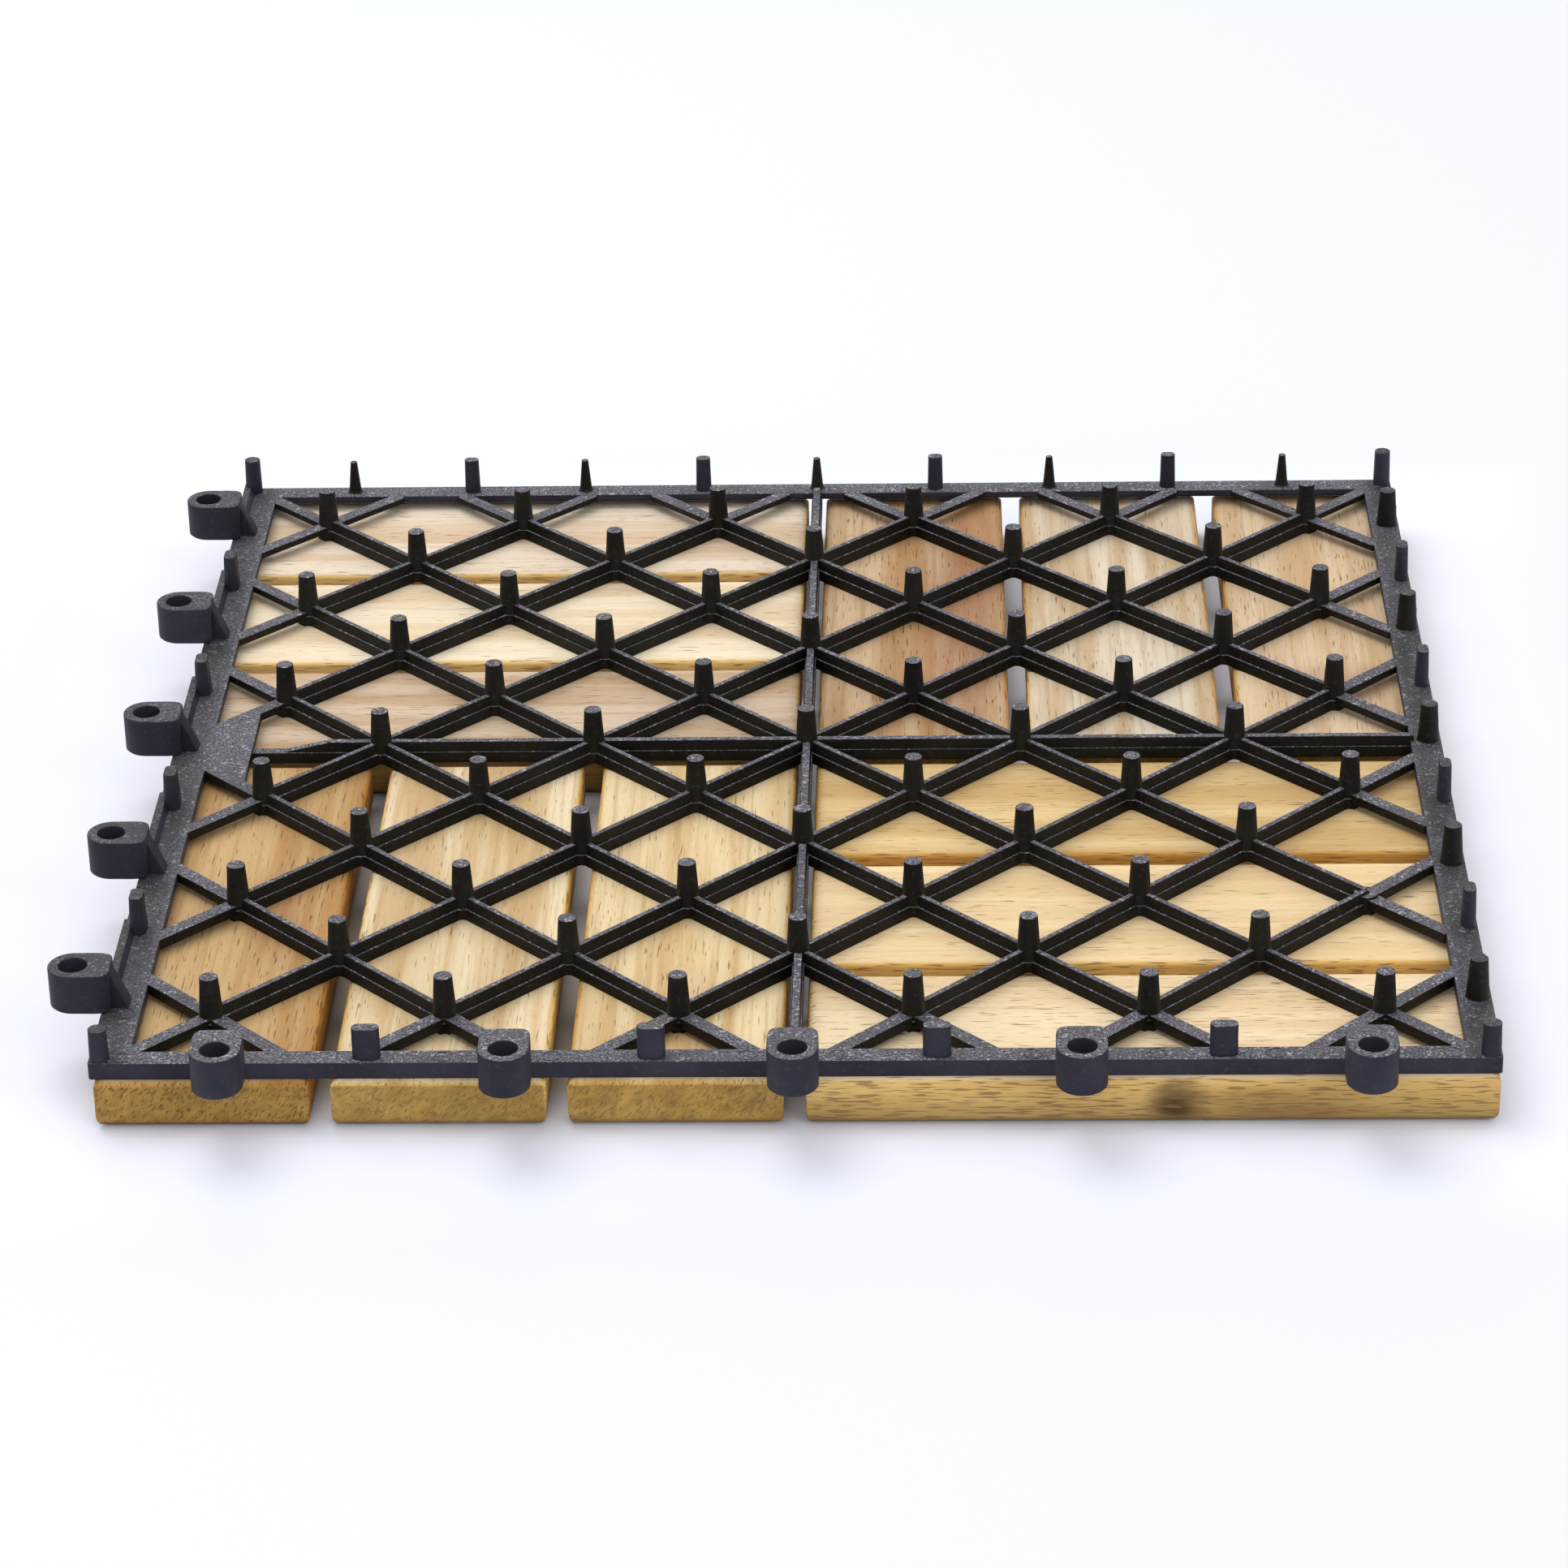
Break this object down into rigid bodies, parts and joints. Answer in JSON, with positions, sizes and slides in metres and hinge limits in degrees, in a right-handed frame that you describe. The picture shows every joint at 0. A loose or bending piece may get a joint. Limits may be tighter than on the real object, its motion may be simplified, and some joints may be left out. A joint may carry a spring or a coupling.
{
  "type": "interlocking deck tile",
  "caption": "Square outdoor floor tile with rounded wooden slats on a moulded plastic lattice, with joining loops on two sides and joining pins on the other two.",
  "frame": {"origin": "middle of the whole tile, loops included, on the plane of the wooden deck face; the middle of the joining pitch lies at X 6.0 mm, Y 6.75 mm", "axes": "+Z from the deck face up through the wood to the pegs of the base (the tile lies face down, as it does to show its back), +X towards the side with the stout joining pins, +Y towards the side with the slim joining pins"},
  "size_m": [0.3084, 0.3088, 0.0242],
  "materials": {
    "base_plastic": "charcoal black polypropylene, fine spark-eroded texture",
    "wood_pale": "pale unfinished hardwood, open dark pores",
    "wood_yellow": "straw-yellow unfinished hardwood, open dark pores",
    "wood_tan": "orange-tan unfinished hardwood, open dark pores",
    "screw_steel": "bright steel"
  },
  "bodies": {
    "root": {"base_grid": "base_plastic", "slat_front_left_1": "wood_tan", "slat_front_left_2": "wood_yellow", "slat_front_left_3": "wood_pale", "slat_front_right_1": "wood_pale", "slat_front_right_2": "wood_pale", "slat_front_right_3": "wood_tan", "slat_back_left_1": "wood_tan", "slat_back_left_2": "wood_yellow", "slat_back_left_3": "wood_tan", "slat_back_right_1": "wood_tan", "slat_back_right_2": "wood_yellow", "slat_back_right_3": "wood_pale", "deck_screws": "screw_steel"}
  },
  "joints": []
}
